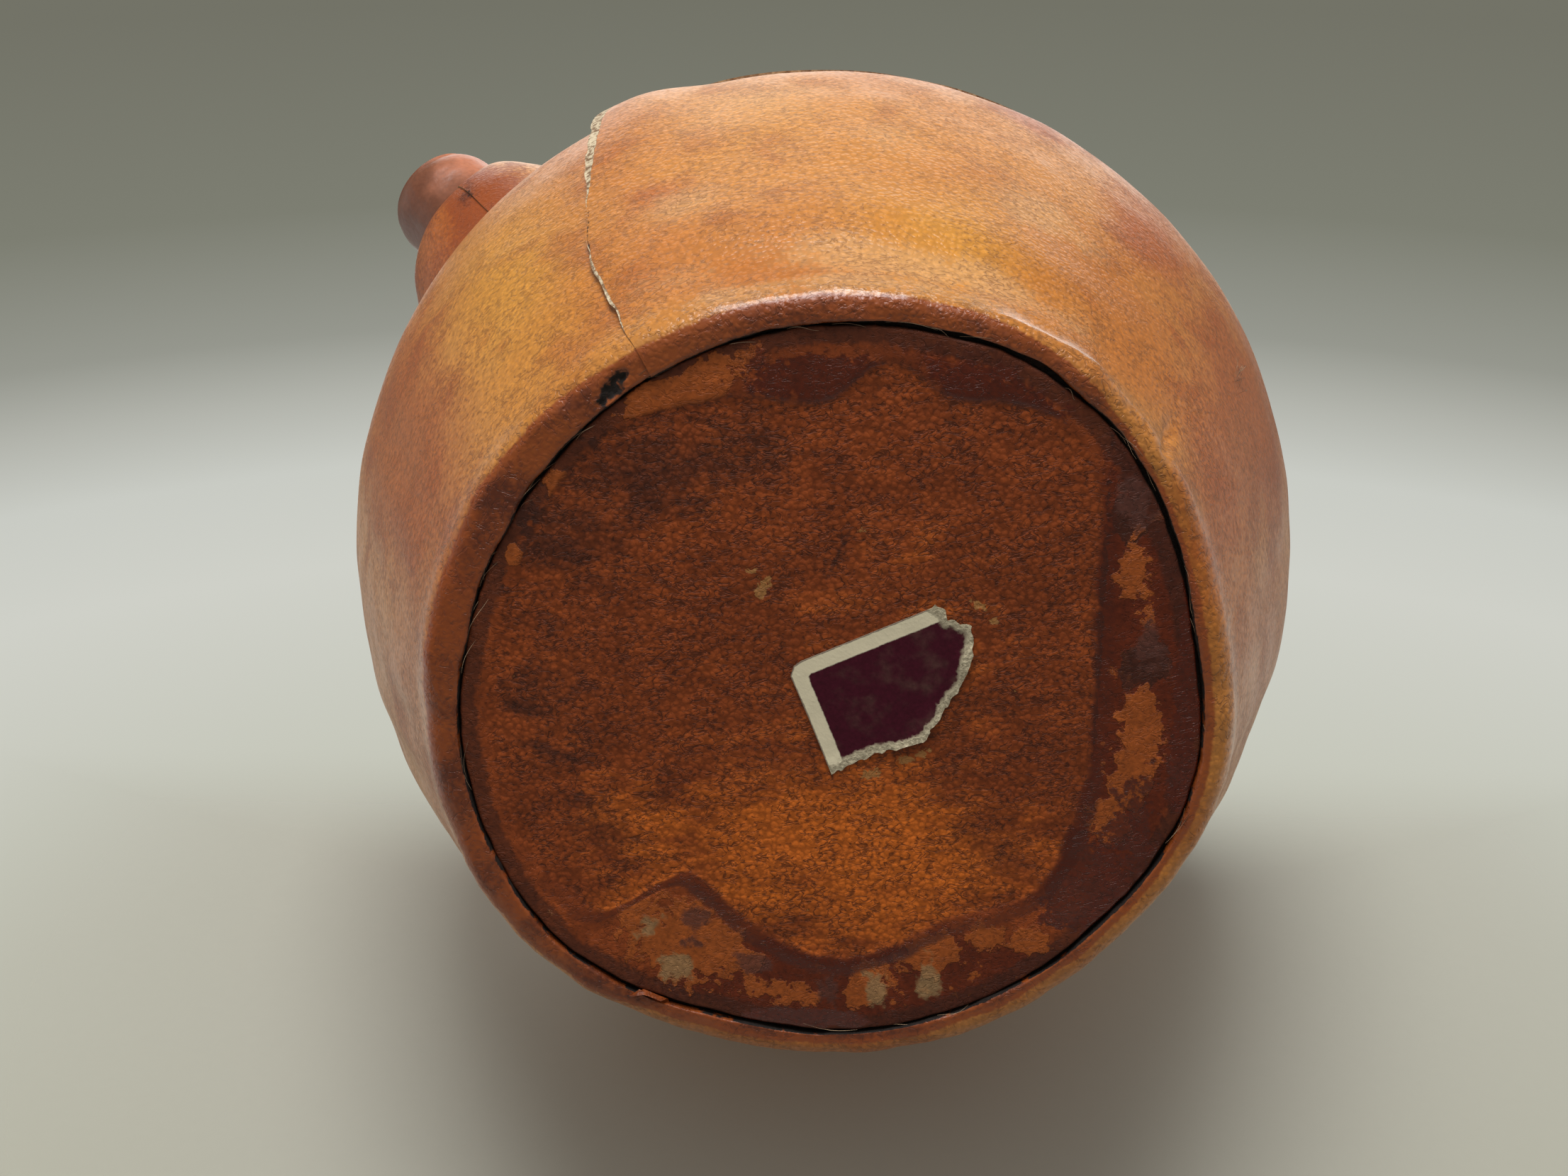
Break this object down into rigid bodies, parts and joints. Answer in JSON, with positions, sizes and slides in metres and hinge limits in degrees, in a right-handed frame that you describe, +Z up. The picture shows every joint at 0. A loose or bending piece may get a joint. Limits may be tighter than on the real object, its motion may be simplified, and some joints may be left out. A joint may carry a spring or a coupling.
{
  "type": "leather-wrapped water jug",
  "caption": "Globular clay water jug dressed in glued leather, with a pouring spout, a filling mouth closed by a cork stopper, and a ring handle on top.",
  "frame": {"origin": "middle of the base, on the surface that the jug stands on", "axes": "+Z up through the crown, +X towards the pouring spout, -X towards the filling mouth, +Y to the left of the spout"},
  "size_m": [0.2275, 0.18, 0.2122],
  "materials": {
    "clay": "unglazed fired clay",
    "wrap_leather": "tan grained leather, waxed to a half gloss",
    "base_leather": "brown grained leather with dark glue stains",
    "lip_leather": "dark mahogany moulded leather, polished",
    "cork": "raw cork",
    "paper": "torn printed paper with no print left to read"
  },
  "bodies": {
    "jug": {"clay_body": "clay", "clay_spout": "clay", "clay_mouth": "clay", "clay_handle": "clay", "body_wrap": "wrap_leather", "shoulder_panel_left": "wrap_leather", "shoulder_panel_right": "wrap_leather", "base_disc": "base_leather", "spout_sleeve": "wrap_leather", "mouth_sleeve": "wrap_leather", "handle_wrap": "wrap_leather", "spout_lip": "lip_leather", "mouth_lip": "lip_leather", "paper_label": "paper"},
    "stopper": {"stopper_cork": "cork", "stopper_cap": "wrap_leather"}
  },
  "joints": [
    {"name": "stopper_lift", "type": "slide", "parent": "jug", "child": "stopper", "axis": [-0.766, 0, 0.6428], "range_m": [0, 0.04]}
  ]
}
